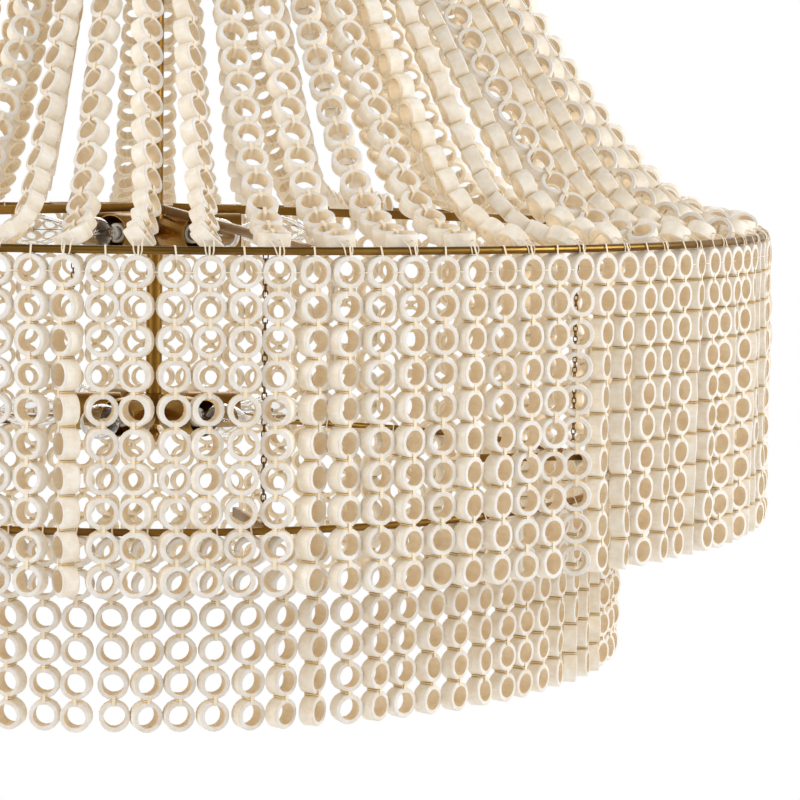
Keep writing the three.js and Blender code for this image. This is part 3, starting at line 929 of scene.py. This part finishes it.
# %% [markdown]
# ## The draped strands
# Sixty-eight strands fall from the crown ring in one long curve and land on the upper ring. The
# curve is given by its shares of the way out and the way up. Near the crown there is no room for
# rings side by side, so they turn edge-on there, and lower down each strand lies as it likes.

# %% The curve of a drape
drape_end_rise = 5 * MM
drape_spans = [1, 0.72, 0.46, 0.26, 0.13, 0]
drape_rises = [1, 0.61, 0.295, 0.088, 0.018, 0]
curve_steps = 40
slope_reach = 2 * MM


def drape_curve():
    """Points of a smooth curve from the crown ring down to the upper ring, as radius and level."""
    outer = np.array([tier_radius - rod_radius - 2 * seat, tier_level + drape_end_rise])
    upper = np.array([crown_radius, crown_level])
    stops = outer + (upper - outer) * np.array([drape_spans, drape_rises]).T
    before = np.vstack([2 * stops[0] - stops[1], stops[:-1]])
    after = np.vstack([stops[1:], 2 * stops[-1] - stops[-2]])
    slopes = (after - before) / 2
    points = []
    for place in range(len(stops) - 1):
        for step in np.linspace(0, 1, curve_steps, endpoint=False):
            square = step * step
            cube = square * step
            points.append(
                stops[place] * (2 * cube - 3 * square + 1) + slopes[place] * (cube - 2 * square + step)
                + stops[place + 1] * (3 * square - 2 * cube) + slopes[place + 1] * (cube - square)
            )
    points.append(stops[-1])
    return np.array(points)


curve = drape_curve()
lengths = np.concatenate([[0], np.cumsum(np.linalg.norm(np.diff(curve, axis=0), axis=1))])


def along_curve(distance):
    """Radius, level and lean of the strand at a distance from the crown."""
    def point(place):
        return [np.interp(place, lengths, curve[:, axis]) for axis in (0, 1)]

    before = point(distance - slope_reach)
    after = point(distance + slope_reach)
    radius, level = point(distance)
    return float(radius), float(level), math.atan2(after[0] - before[0], before[1] - after[1])


print("a drape is", round(lengths[-1], 3), "m long")

# %% [markdown]
# A drape ends in two threads that spread over the rod and meet in a knot below it. They are thin
# curves with a round bevel, turned into one mesh.

# %% Thread tails over the rod
tail_radius = 0.55 * MM
tail_clearance = 0.6 * MM


def wires(name, kind, lines, radius, roundness):
    """A mesh of thin wires along lists of stops: straight ones for POLY, curved ones for BEZIER."""
    data = bpy.data.curves.new(name, "CURVE")
    data.dimensions = "3D"
    data.bevel_depth = radius
    data.bevel_resolution = roundness
    data.resolution_u = 3
    for stops in lines:
        line = data.splines.new(kind)
        points = line.bezier_points if kind == "BEZIER" else line.points
        points.add(len(stops) - 1)
        for point, stop in zip(points, stops):
            if kind == "BEZIER":
                point.co = stop
                point.handle_left_type = "AUTO"
                point.handle_right_type = "AUTO"
            else:
                point.co = (*stop, 1)
    only(linked(name, data))
    bpy.ops.object.convert(target="MESH")
    return bpy.context.active_object


def tail_stops(side):
    """One thread from the last ring, over the rod and down to the knot."""
    over = rod_radius + tail_clearance
    return [
        (side * 4.5 * MM, 13 * MM, 9 * MM), (side * 3.8 * MM, 5 * MM, 7 * MM),
        (side * 3.2 * MM, -0.6 * over, 0.85 * over), (side * 2.6 * MM, -over, -0.5 * over),
        (side * 0.7 * MM, -0.5 * over, -1.35 * over),
    ]


tail_model = wires("tail_model", "BEZIER", [tail_stops(-1), tail_stops(1)], tail_radius, 0)
print("tail:", len(tail_model.data.polygons), "faces")

# %% Hang the drapes
drape_strands = 68
drape_tail_gap = 3 * MM
drape_pitch = 25.0 * MM
drape_turn_limit = 85
crowd_starts = 0.33                # nearer to the stem than this the rings turn edge-on
crowd_blend = 0.09
drape_drift = 0.2
drape_sway = 2.2 * MM
drape_lift = 2.0 * MM
drape_tilt = 0.04
tail_slant = 0.1


def hang_drapes(name, body, seed):
    rng = np.random.default_rng(seed)
    last = lengths[-1] - drape_tail_gap - bead_outer
    first = rod_radius + seat + bead_outer
    rings = int(round((last - first) / drape_pitch)) + 1
    distances = first + (last - first) / (rings - 1) * np.arange(rings)

    def lay(places, number, turn):
        free_turn = rng.uniform(-drape_turn_limit, drape_turn_limit)
        lie = math.radians(seen_drape_twists.get(number, free_turn))
        edge_on = math.copysign(math.pi / 2, lie)
        drift = smooth_noise(rng, rings, step=6) * drape_drift
        sway = smooth_noise(rng, rings, step=8) * drape_sway
        lift = smooth_noise(rng, rings, step=6) * drape_lift
        middles = []
        frames = []
        yaws = []
        for ring, distance in enumerate(distances):
            radius, level, lean = along_curve(distance)
            crowd = min(max((crowd_starts - radius) / crowd_blend, 0), 1)
            loose = (1 - crowd) * min(1, (rings - 1 - ring) / loose_rings)
            axes = strand_axes(turn, lean)
            point = around(turn, radius, level)
            point = point + axes.col[0] * float(sway[ring] * loose) - axes.col[1] * float(lift[ring] * loose)
            yaws.append((lie + drift[ring]) * (1 - crowd) + edge_on * crowd)
            middles.append(point)
            frames.append(axes)
        lay_strand(places, rng, middles, frames, yaws, drape_tilt)
        places["loops"].append(placed(around(turn, crown_radius, crown_level), frames[0], yaws[0]))
        landing = around(turn, tier_radius, tier_level)
        places["ends"].append(placed(landing, strand_axes(turn), 0, 0, rng.normal(0, tail_slant)))

    hang_panels(name, body, drape_strands, 0.5, rng, lay, tail_model)


hang_drapes("crown_drape", "chandelier_frame", seed=23)
for model in (ring_model, tie_model, side_tie_model, rod_loop_model, knot_model, bind_model, tail_model):
    bpy.data.objects.remove(model)

# %% [markdown]
# ## Brass rods, spokes and chains
# The rods are bent from round bar, so a torus with many segments is the true shape.

# %% Rods
rod_sides = 14


def rod(name, radius, level, steps):
    return wire_ring(name, radius, rod_radius, steps, rod_sides, location=(0, 0, level))


brass_part(rod("upper_ring_rod", tier_radius, tier_level, steps=288), 60, "upper_ring")
brass_part(rod("lower_ring_rod", lower_radius, lower_level, steps=240), 60, "lower_ring", "lower_tier")
print("rods made")

# %% [markdown]
# The lower rod hangs from four flat tabs that point inwards. A wire eye stands on each tab, and one
# hangs below each spoke. All eyes lie in planes of one direction, so the chains can swing together.

# %% Eyes and flat bars
chain_radius = 422 * MM
eye_radius = 4.2 * MM
eye_wire = 1.1 * MM
eye_steps = (22, 8)
eye_narrowing = 0.72
eye_narrows = 0.55                 # share of the radius above which it narrows
bar_height = 8 * MM
bar_thickness = 4 * MM
bar_edge = 0.6 * MM
spoke_taper = 14 * MM


def wire_eye(turn, level, drop):
    """A teardrop of bent wire; its narrow end is the one that is welded on."""
    eye = wire_ring("eye", eye_radius, eye_wire, *eye_steps, rotation=(math.pi / 2, 0, 0))
    with picked(eye, "verts", lambda vert: vert.co.z * drop > eye_radius * eye_narrows):
        bpy.ops.transform.resize(value=(eye_narrowing, 1, 1))
    facing = Matrix.Rotation(spoke_turn - math.pi / 2, 4, "Z")
    eye.data.transform(Matrix.Translation(around(turn, chain_radius, level)) @ facing)
    return eye


def flat_bar(name, turn, inner, outer, inner_level, outer_level, end_rise=0.0):
    """A bar from one radius out to another; where an end rise is given, its outer end tapers."""
    taper = spoke_taper if end_rise else 0
    middle = (inner + outer - taper) / 2
    bar = block(name, (bar_thickness, outer - taper - inner, bar_height), (0, -middle, inner_level))
    if end_rise:
        with picked(bar, "faces", lambda face: face.normal.y < -0.9):
            bpy.ops.mesh.extrude_region_move(TRANSFORM_OT_translate={"value": (0, -taper, 0)})
        with picked(bar, "verts", lambda vert: vert.co.y < -outer + MM and vert.co.z < inner_level):
            bpy.ops.transform.translate(value=(0, 0, end_rise))
    slope = (outer_level - inner_level) / (outer - inner)
    for vert in bar.data.vertices:
        vert.co.z += slope * (-vert.co.y - inner)
    modified(
        bar, "BEVEL", width=bar_edge, segments=2, limit_method="ANGLE", angle_limit=math.radians(30),
        use_clamp_overlap=True,
    )
    bar.rotation_euler = (0, 0, turn)
    apply_all()
    return bar


print("eyes and bars ready")

# %% Spokes and tabs
hub_disc_radius = 17 * MM
upper_eye_level = -670.99 * MM
lower_eye_level = -885.33 * MM
spoke_start = (hub_disc_radius + seat, tier_radius - rod_radius - seat)
spoke_levels = (-651.127 * MM, tier_level)
spoke_end_rise = 1.2 * MM
tab_end = lower_radius - rod_radius / 2
tab_length = 106 * MM
tab_level = lower_level + 1 * MM

for number, turn in enumerate(spoke_turns, 1):
    spoke = flat_bar("spoke", turn, *spoke_start, *spoke_levels, spoke_end_rise)
    spoke = joined(f"spoke_bar_{number}", [spoke, wire_eye(turn, upper_eye_level, 1)])
    brass_part(spoke, 40, f"spoke_{number}")
    tab = flat_bar("tab", turn, tab_end - tab_length, tab_end, tab_level, tab_level)
    tab = joined(f"lower_tab_{number}", [tab, wire_eye(turn, lower_eye_level, -1)])
    handed_over(tab, 40, "lower_tier", "brass", brass)
print("spokes, tabs and eyes:", spoke_count)

# %% [markdown]
# The chains are fine jewellery chain: oblong links, each turned a quarter to the one above and
# hanging in it. One link is a wire ring whose halves are moved apart.

# %% Chains
chain_wire = 0.6 * MM
chain_link_width = 4.0 * MM
chain_links = 41
chain_steps = (12, 6)
link_play = 0.1 * MM


def hang_chains():
    hook = eye_wire + chain_wire + link_play
    top = upper_eye_level - eye_radius + hook
    bottom = lower_eye_level + eye_radius - hook
    nest = 2 * chain_wire + link_play
    length = (top - bottom + (chain_links - 1) * nest) / chain_links
    model = stretched_link("link_model", chain_link_width / 2, chain_wire, length, *chain_steps)
    for place, turn in enumerate(spoke_turns):
        rng = np.random.default_rng(30 + place)
        spots = []
        for number in range(chain_links):
            where = around(turn, chain_radius, top - length / 2 - number * (length - nest))
            quarter = spoke_turn + number % 2 * math.pi / 2
            spots.append(Matrix.Translation(where) @ Matrix.Rotation(quarter, 4, "Z"))
        chain = strung(f"fine_chain_{place + 1}", model, spots, rng)
        handed_over(
            chain, 180, f"tier_chain_{place + 1}", "dark_brass", dark_brass, replaced=[f"chain_{place + 1}"],
        )
    bpy.data.objects.remove(model)
    print("chains of", chain_links, "links,", round(length / MM, 2), "mm each")


hang_chains()

# %% [markdown]
# ## Stem, hubs and finial
# These are lathe work, so each is an outline spun round the stem. The outline has small flats on
# its edges, because a sharp edge never catches the light.

# %% Hubs
flat = 0.7 * MM
hub_radius = 9.5 * MM
hub_disc = 7 * MM
arm_radius = 5 * MM
arm_reach = 30.7 * MM
spigot_radius = 5.7 * MM
spigot = 8 * MM
hub_steps = 48
light_count = 6
light_tiers = {
    "upper": (middle_level("upper_cup_1"), math.radians(30)),
    "lower": (middle_level("lower_cup_1"), math.radians(35)),
}


def light_turns(first):
    return [first + light * math.tau / light_count for light in range(light_count)]


def light_arm(turn, level):
    """A short round arm; it starts inside the hub so that the two can be fused."""
    start = arm_radius / 2
    return primitive(
        "arm", bpy.ops.mesh.primitive_cylinder_add, vertices=28, radius=arm_radius, depth=arm_reach - start,
        location=around(turn, (start + arm_reach) / 2, level), rotation=(math.pi / 2, 0, turn),
    )


def light_hub(tier, profile):
    level, first = light_tiers[tier]
    name = f"{tier}_hub_body"
    hub = fused(name, [turned(name, profile, hub_steps)] + [light_arm(turn, level) for turn in light_turns(first)])
    brass_part(hub, 35, f"{tier}_hub")


def upper_hub_outline():
    low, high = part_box("upper_hub")
    bottom = low.z + spigot
    top = high.z - spigot
    disc = top - hub_disc
    return [
        (0, low.z), (spigot_radius, low.z), (spigot_radius, bottom), (hub_radius - flat, bottom),
        (hub_radius, bottom + flat), (hub_radius, disc - flat), (hub_radius + flat, disc),
        *edged(hub_disc_radius, disc, top, flat), (spigot_radius, top), (spigot_radius, high.z), (0, high.z),
    ]


def lower_hub_outline():
    low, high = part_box("lower_hub")
    top = high.z - spigot
    return [
        (0, low.z), *edged(hub_radius, low.z, top, flat), (spigot_radius, top), (spigot_radius, high.z),
        (0, high.z),
    ]


light_hub("upper", upper_hub_outline())
light_hub("lower", lower_hub_outline())
print("hubs made")

# %% Stem tubes
stem_radius = 7.5 * MM
stem_bore = 6 * MM
for stem in ("upper_stem", "middle_stem"):
    low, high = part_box(stem)
    tube = turned(f"{stem}_tube", sleeve(stem_bore, stem_radius, low.z, high.z, flat / 2), hub_steps)
    brass_part(tube, 40, stem)
print("stem tubes made")

# %% Finial
finial_ball = 6 * MM
finial_neck = 3.4 * MM
half_ball = 0.4                    # share of the finial's height
half_turn_steps = 13               # the ball runs into the neck after ten of them
ball_steps = 10


def finial_knob():
    low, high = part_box("finial")
    height = high.z - low.z
    profile = [(0, low.z)]
    for step in range(1, ball_steps + 1):
        turn = math.pi * step / half_turn_steps
        profile.append((finial_ball * math.sin(turn), low.z + height * half_ball * (1 - math.cos(turn))))
    profile += [
        (finial_neck, low.z + height * 2 * half_ball), (finial_neck, high.z - 2 * flat),
        (finial_neck + flat, high.z - flat), (finial_neck + flat, high.z), (0, high.z),
    ]
    return turned("finial_knob", profile, hub_steps)


brass_part(finial_knob(), 40, "finial")
print("finial made")

# %% [markdown]
# ## Lights
# Each light lies flat: a deep brass cup with a rolled lip, a lampholder inside it and a clear bulb
# on a nickel screw cap. They are spun upright at the middle of the world, then laid along an arm.

# %% Cup and lampholder
cup_radius = 17.5 * MM
cup_wall = 1.2 * MM
cup_back = arm_reach + seat
cup_front = 80.5 * MM
cup_corner = 1.8 * MM
lip = 0.5 * MM
holder_mouth = cup_front - 10 * MM
holder_back = holder_mouth - 20 * MM
holder_radius = 9 * MM
holder_bore = 6.3 * MM
round_steps = 40


def cup_model():
    inside = cup_radius - cup_wall
    floor = cup_back + cup_wall
    profile = [(0, cup_back)]
    for step in range(5):
        turn = math.pi / 2 * step / 4
        profile.append((
            cup_radius - cup_corner * (1 - math.sin(turn)), cup_back + cup_corner * (1 - math.cos(turn)),
        ))
    profile += [
        (cup_radius, cup_front - 3 * lip), (cup_radius - lip / 2, cup_front - 2 * lip),
        (cup_radius, cup_front - lip), (cup_radius - lip, cup_front), (inside, cup_front),
        (inside, floor), (holder_radius + MM, floor), (0, floor),
    ]
    return turned("cup", profile, round_steps)


def holder_model():
    floor = cup_back + cup_wall + seat
    return turned("holder", [
        (0, floor), *edged(holder_radius, floor, holder_mouth, flat), (holder_bore, holder_mouth),
        (holder_bore, holder_back), (0, holder_back),
    ], round_steps)


print("cup and holder ready")

# %% Bulb glass
bulb_neck = holder_mouth + 2 * MM
bulb_tip = 144 * MM
bulb_radius = 16.5 * MM
glass_wall = 0.6 * MM
bulb_stops = [0, 0.1, 0.25, 0.42, 0.56, 0.72, 0.85, 0.94, 0.985, 1]
bulb_sizes = [0.34, 0.38, 0.62, 0.92, 1.0, 0.9, 0.68, 0.42, 0.2, 0]


def bulb_outline(inset):
    """Outer shape of the glass from its neck to its tip, drawn in by a wall."""
    length = bulb_tip - inset - bulb_neck
    return [
        (max(bulb_radius * size - inset, 0), bulb_neck + length * stop)
        for stop, size in zip(bulb_stops, bulb_sizes)
    ]


def glass_model():
    outside = bulb_outline(0)
    inside = bulb_outline(glass_wall)
    glass = turned("glass", [*outside, *reversed(inside), outside[0]], round_steps)
    modified(glass, "SUBSURF", levels=1, render_levels=1)
    return glass


print("glass shape ready")

# %% Screw cap and filament
bulb_cap_radius = 5.8 * MM
cap_threads = 5
cap_collar = 2.6 * MM
cap_flare = 0.4 * MM
cap_steps = 32
thread_depth = 0.8 * MM
filament_radius = 0.22 * MM
filament_reach = 5 * MM
filament_bends = 10
filament_swing = 1.6 * MM
filament_height = 40 * MM
support_spread = 2 * MM
support_bend = 12 * MM


def cap_model():
    """Screw cap: a stack of rounded threads and a flared collar that grips the glass."""
    start = holder_back + 3 * seat
    end = holder_mouth + cap_collar
    rise = (holder_mouth - start) / cap_threads
    groove = bulb_cap_radius - thread_depth
    profile = [(0, start), (bulb_cap_radius * 0.5, start)]
    for number in range(cap_threads):
        foot = start + rise * number
        profile += [
            (groove, foot + 0.1 * rise), (bulb_cap_radius, foot + 0.4 * rise),
            (bulb_cap_radius, foot + 0.6 * rise), (groove, foot + 0.9 * rise),
        ]
    profile += [
        (bulb_cap_radius, holder_mouth), (bulb_cap_radius + cap_flare, holder_mouth + MM),
        (bulb_cap_radius + cap_flare / 2, end), (bulb_cap_radius - cap_flare / 2, end), (0, end),
    ]
    return turned("cap", profile, cap_steps)


def filament_model():
    """Two support wires and the zigzag filament between their tips."""
    bend = bulb_neck + support_bend
    top = bulb_neck + filament_height
    lines = [
        [(side * support_spread, 0, bulb_neck), (side * support_spread, 0, bend), (side * filament_reach, 0, top)]
        for side in (1, -1)
    ]
    lines.append([
        (filament_reach * (1 - 2 * number / filament_bends), filament_swing * (1 if number % 2 else -1), top)
        for number in range(filament_bends + 1)
    ])
    return wires("filament", "POLY", lines, filament_radius, 1)


light_models = {
    "cup_shell": (cup_model(), "brass", brass, "cup"),
    "holder": (holder_model(), "brass", holder_ceramic, None),
    "bulb_glass": (glass_model(), "bulb_glass", clear_glass, "bulb"),
    "bulb_cap": (cap_model(), "strap_steel", nickel, None),
    "filament": (filament_model(), "strap_steel", filament_metal, None),
}
for label, (model, *_) in light_models.items():
    print(label, len(model.data.polygons), "faces")

# %% Lay the lights round each hub


def lay_lights(tier):
    level, first = light_tiers[tier]
    for number, turn in enumerate(light_turns(first), 1):
        lying = Matrix.Rotation(turn, 4, "Z") @ Matrix.Rotation(math.pi / 2, 4, "X")
        for label, (model, slot, material, node) in light_models.items():
            piece = linked(f"{tier}_{label}_{number}", model.data.copy())
            piece.data.transform(Matrix.Translation((0, 0, level)) @ lying)
            stands_for = [f"{tier}_{node}_{number}"] if node else []
            handed_over(piece, 50, "chandelier_frame", slot, material, replaced=stands_for)


lay_lights("upper")
lay_lights("lower")
for model, *_ in light_models.values():
    bpy.data.objects.remove(model)
print("lights laid:", 2 * light_count)

# %% [markdown]
# ## Crown frame and ceiling fitting
# The photograph ends below the crown, so this part follows common practice: a small ring on four
# arms, a threaded lock ring, a loop on the stem, one oblong link, and a loop, canopy and strap at
# the ceiling.

# %% Crown frame
collar_radius = 16 * MM
collar_bore = stem_radius + seat


def crown():
    """The crown ring, its four arms and their collar, fused."""
    low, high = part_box("crown_frame")
    collar = turned("collar", sleeve(collar_bore, collar_radius, low.z, high.z, flat), hub_steps)
    arms = [
        flat_bar("arm", turn, collar_radius - flat, crown_radius - rod_radius / 2, crown_level, crown_level)
        for turn in spoke_turns
    ]
    return fused("crown_frame_body", [collar, rod("ring", crown_radius, crown_level, steps=128), *arms])


brass_part(crown(), 35, "crown_frame")
print("crown made")

# %% Lock ring
lock_radius = 12 * MM
lock_steps = 72
tooth_depth = 0.045                # share of the radius that every second tooth is pushed in


def knurled_ring():
    """Turned ring whose side faces are pushed in and out in turn for a finger grip."""
    low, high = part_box("crown_lock_ring")
    ring = turned("lock_ring_body", [
        (collar_bore, low.z), (lock_radius - 2 * flat, low.z), (lock_radius, low.z + 1.5 * flat),
        (lock_radius, high.z - 1.5 * flat), (lock_radius - 2 * flat, high.z), (collar_bore, high.z),
        (collar_bore, low.z),
    ], lock_steps)
    for vert in ring.data.vertices:
        tooth = round(math.atan2(vert.co.y, vert.co.x) / math.tau * lock_steps) % 2
        if tooth and math.hypot(vert.co.x, vert.co.y) > lock_radius - 0.1 * MM:
            vert.co.x *= 1 - tooth_depth
            vert.co.y *= 1 - tooth_depth
    return ring


handed_over(knurled_ring(), 25, "chandelier_frame", "dark_brass", dark_brass, replaced=["crown_lock_ring"])
print("lock ring made")

# %% Loops and link
loop_radius = 12 * MM
loop_wire = 2.5 * MM
loop_tip = 6 * MM
link_bow = 11 * MM
nipple_bore = 5.3 * MM
loop_steps = (48, 16)


def loop_piece(name, node, body, bore, radius, side):
    """A collar with a cone to its tip and a loop on that; side is 1 to point down and -1 up."""
    low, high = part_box(node)
    base = high.z if side > 0 else low.z
    height = (high.z - low.z) - 2 * (loop_radius + loop_wire) + loop_wire
    half = base - side * height / 2
    far = base - side * height
    collar = turned(name, [
        (bore, base), (radius - flat, base), (radius, base - side * flat), (radius, half),
        (loop_tip, far), (0, far), (0, half), (bore, half), (bore, base),
    ], hub_steps)
    loop = wire_ring(
        "loop", loop_radius, loop_wire, *loop_steps,
        location=(0, 0, far - side * loop_radius), rotation=(math.pi / 2, 0, 0),
    )
    brass_part(fused(name, [collar, loop]), 35, node, body)


def oblong_link():
    low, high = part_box("hanger_link")
    length = high.z - low.z - 2 * loop_wire
    link = stretched_link("hanger_link_body", link_bow, loop_wire, length, *loop_steps, math.pi / 2)
    link.data.transform(Matrix.Translation((0, 0, (high.z + low.z) / 2)))
    return link


loop_piece("canopy_loop_body", "canopy_loop", "ceiling_fitting", bore=nipple_bore, radius=11 * MM, side=1)
loop_piece("stem_loop_body", "stem_loop", "chandelier_frame", bore=7.8 * MM, radius=14 * MM, side=-1)
brass_part(oblong_link(), 60, "hanger_link", "hanger")
print("loops and link made")

# %% Canopy
canopy_wall = 1.5 * MM
canopy_flat = 20 * MM
canopy_bends = 14
canopy_steps = 96
canopy_swell = (0.9, 1.1)          # powers that make the dome fuller than a quarter circle


def canopy_shell():
    low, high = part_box("canopy")
    radius = high.x
    half = (high.z - low.z) / 2
    across_power, up_power = canopy_swell
    outside = []
    for step in range(canopy_bends + 1):
        turn = math.pi / 2 * step / canopy_bends
        across = canopy_flat + (radius - canopy_flat) * math.sin(turn) ** across_power
        outside.append((across, low.z + half * (1 - math.cos(turn)) ** up_power))
    inside = [(across - canopy_wall, level + canopy_wall) for across, level in outside[1:-1]]
    return turned("canopy_shell", [
        (nipple_bore, low.z), (canopy_flat - flat, low.z), *outside,
        (radius, high.z - flat), (radius - flat, high.z), (radius - canopy_wall, high.z),
        (radius - canopy_wall, low.z + half), *reversed(inside),
        (nipple_bore, low.z + canopy_wall), (nipple_bore, low.z),
    ], canopy_steps)


brass_part(canopy_shell(), 35, "canopy", "ceiling_fitting")
print("ceiling fitting made")

# %% [markdown]
# ## Finish
# The camera, the lights and the world need no body.

# %% Floor and finish
floor_radius = 1.5
floor_level = -2.4
floor = primitive(
    "floor", bpy.ops.mesh.primitive_circle_add, vertices=96, radius=floor_radius, fill_type="NGON",
    location=(0, 0, floor_level),
)
floor.data.materials.append(clouded_finish(
    "pale_floor", 1.5, shade(246, 245, 243), shade(243, 242, 240), Roughness=0.9,
))
